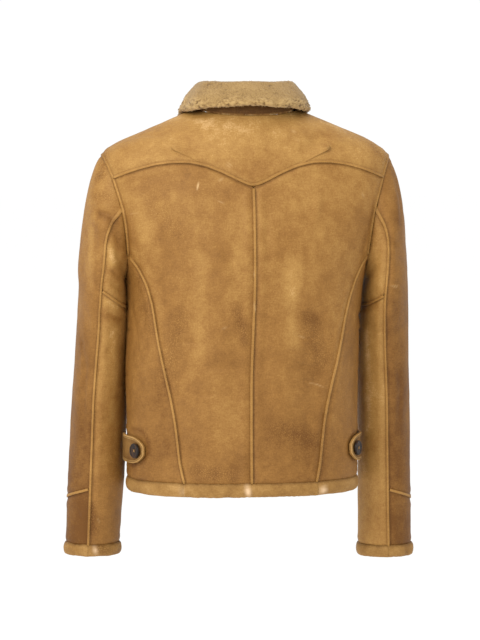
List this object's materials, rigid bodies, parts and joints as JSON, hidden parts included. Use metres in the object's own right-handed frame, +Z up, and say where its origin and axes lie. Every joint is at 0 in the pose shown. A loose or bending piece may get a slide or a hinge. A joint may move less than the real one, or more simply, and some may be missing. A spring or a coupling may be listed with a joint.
{
  "type": "western shearling jacket",
  "caption": "Hip-length sheepskin jacket filled out as worn, with a folded wool collar, pointed back yoke, raised seam strips, rolled hem and cuffs and buttoned waist tabs.",
  "frame": {"origin": "middle of the base of the neck, where the jacket rests on the wearer's shoulders, level with the base of the collar at the back", "axes": "+Z up, the jacket's back faces +Y and its buttoned front -Y, and +X is the wearer's left"},
  "size_m": [0.5754, 0.2628, 0.775],
  "materials": {
    "hide": "matt, waxed, mottled sheepskin",
    "wool": "clipped curly wool",
    "horn": "dark horn, half matt"
  },
  "bodies": {
    "root": {"back_yoke": "hide", "back_left": "hide", "back_right": "hide", "side_left": "hide", "side_right": "hide", "front_left": "hide", "front_right": "hide", "collar": "wool", "hem_back_left": "hide", "hem_back_right": "hide", "hem_side_left": "hide", "hem_side_right": "hide", "hem_front_left": "hide", "hem_front_right": "hide", "top_sleeve_left": "hide", "cuff_panel_left": "hide", "under_sleeve_upper_left": "hide", "under_sleeve_lower_left": "hide", "cuff_roll_outer_left": "hide", "cuff_roll_inner_left": "hide", "top_sleeve_right": "hide", "cuff_panel_right": "hide", "under_sleeve_upper_right": "hide", "under_sleeve_lower_right": "hide", "cuff_roll_outer_right": "hide", "cuff_roll_inner_right": "hide", "strip_yoke": "hide", "strip_centre_back": "hide", "strip_side_back_left": "hide", "strip_side_back_right": "hide", "strip_side_front_left": "hide", "strip_side_front_right": "hide", "strip_armhole_left": "hide", "strip_armhole_right": "hide", "strip_sleeve_back_left": "hide", "strip_sleeve_back_right": "hide", "strip_sleeve_front_left": "hide", "strip_sleeve_front_right": "hide", "strip_elbow_left": "hide", "strip_elbow_right": "hide", "strip_cuff_left": "hide", "strip_cuff_right": "hide", "tab_left": "hide", "tab_right": "hide", "tab_button_left": "horn", "tab_button_right": "horn", "front_button_1": "horn", "front_button_2": "horn", "front_button_3": "horn", "front_button_4": "horn", "front_button_5": "horn"}
  },
  "joints": []
}
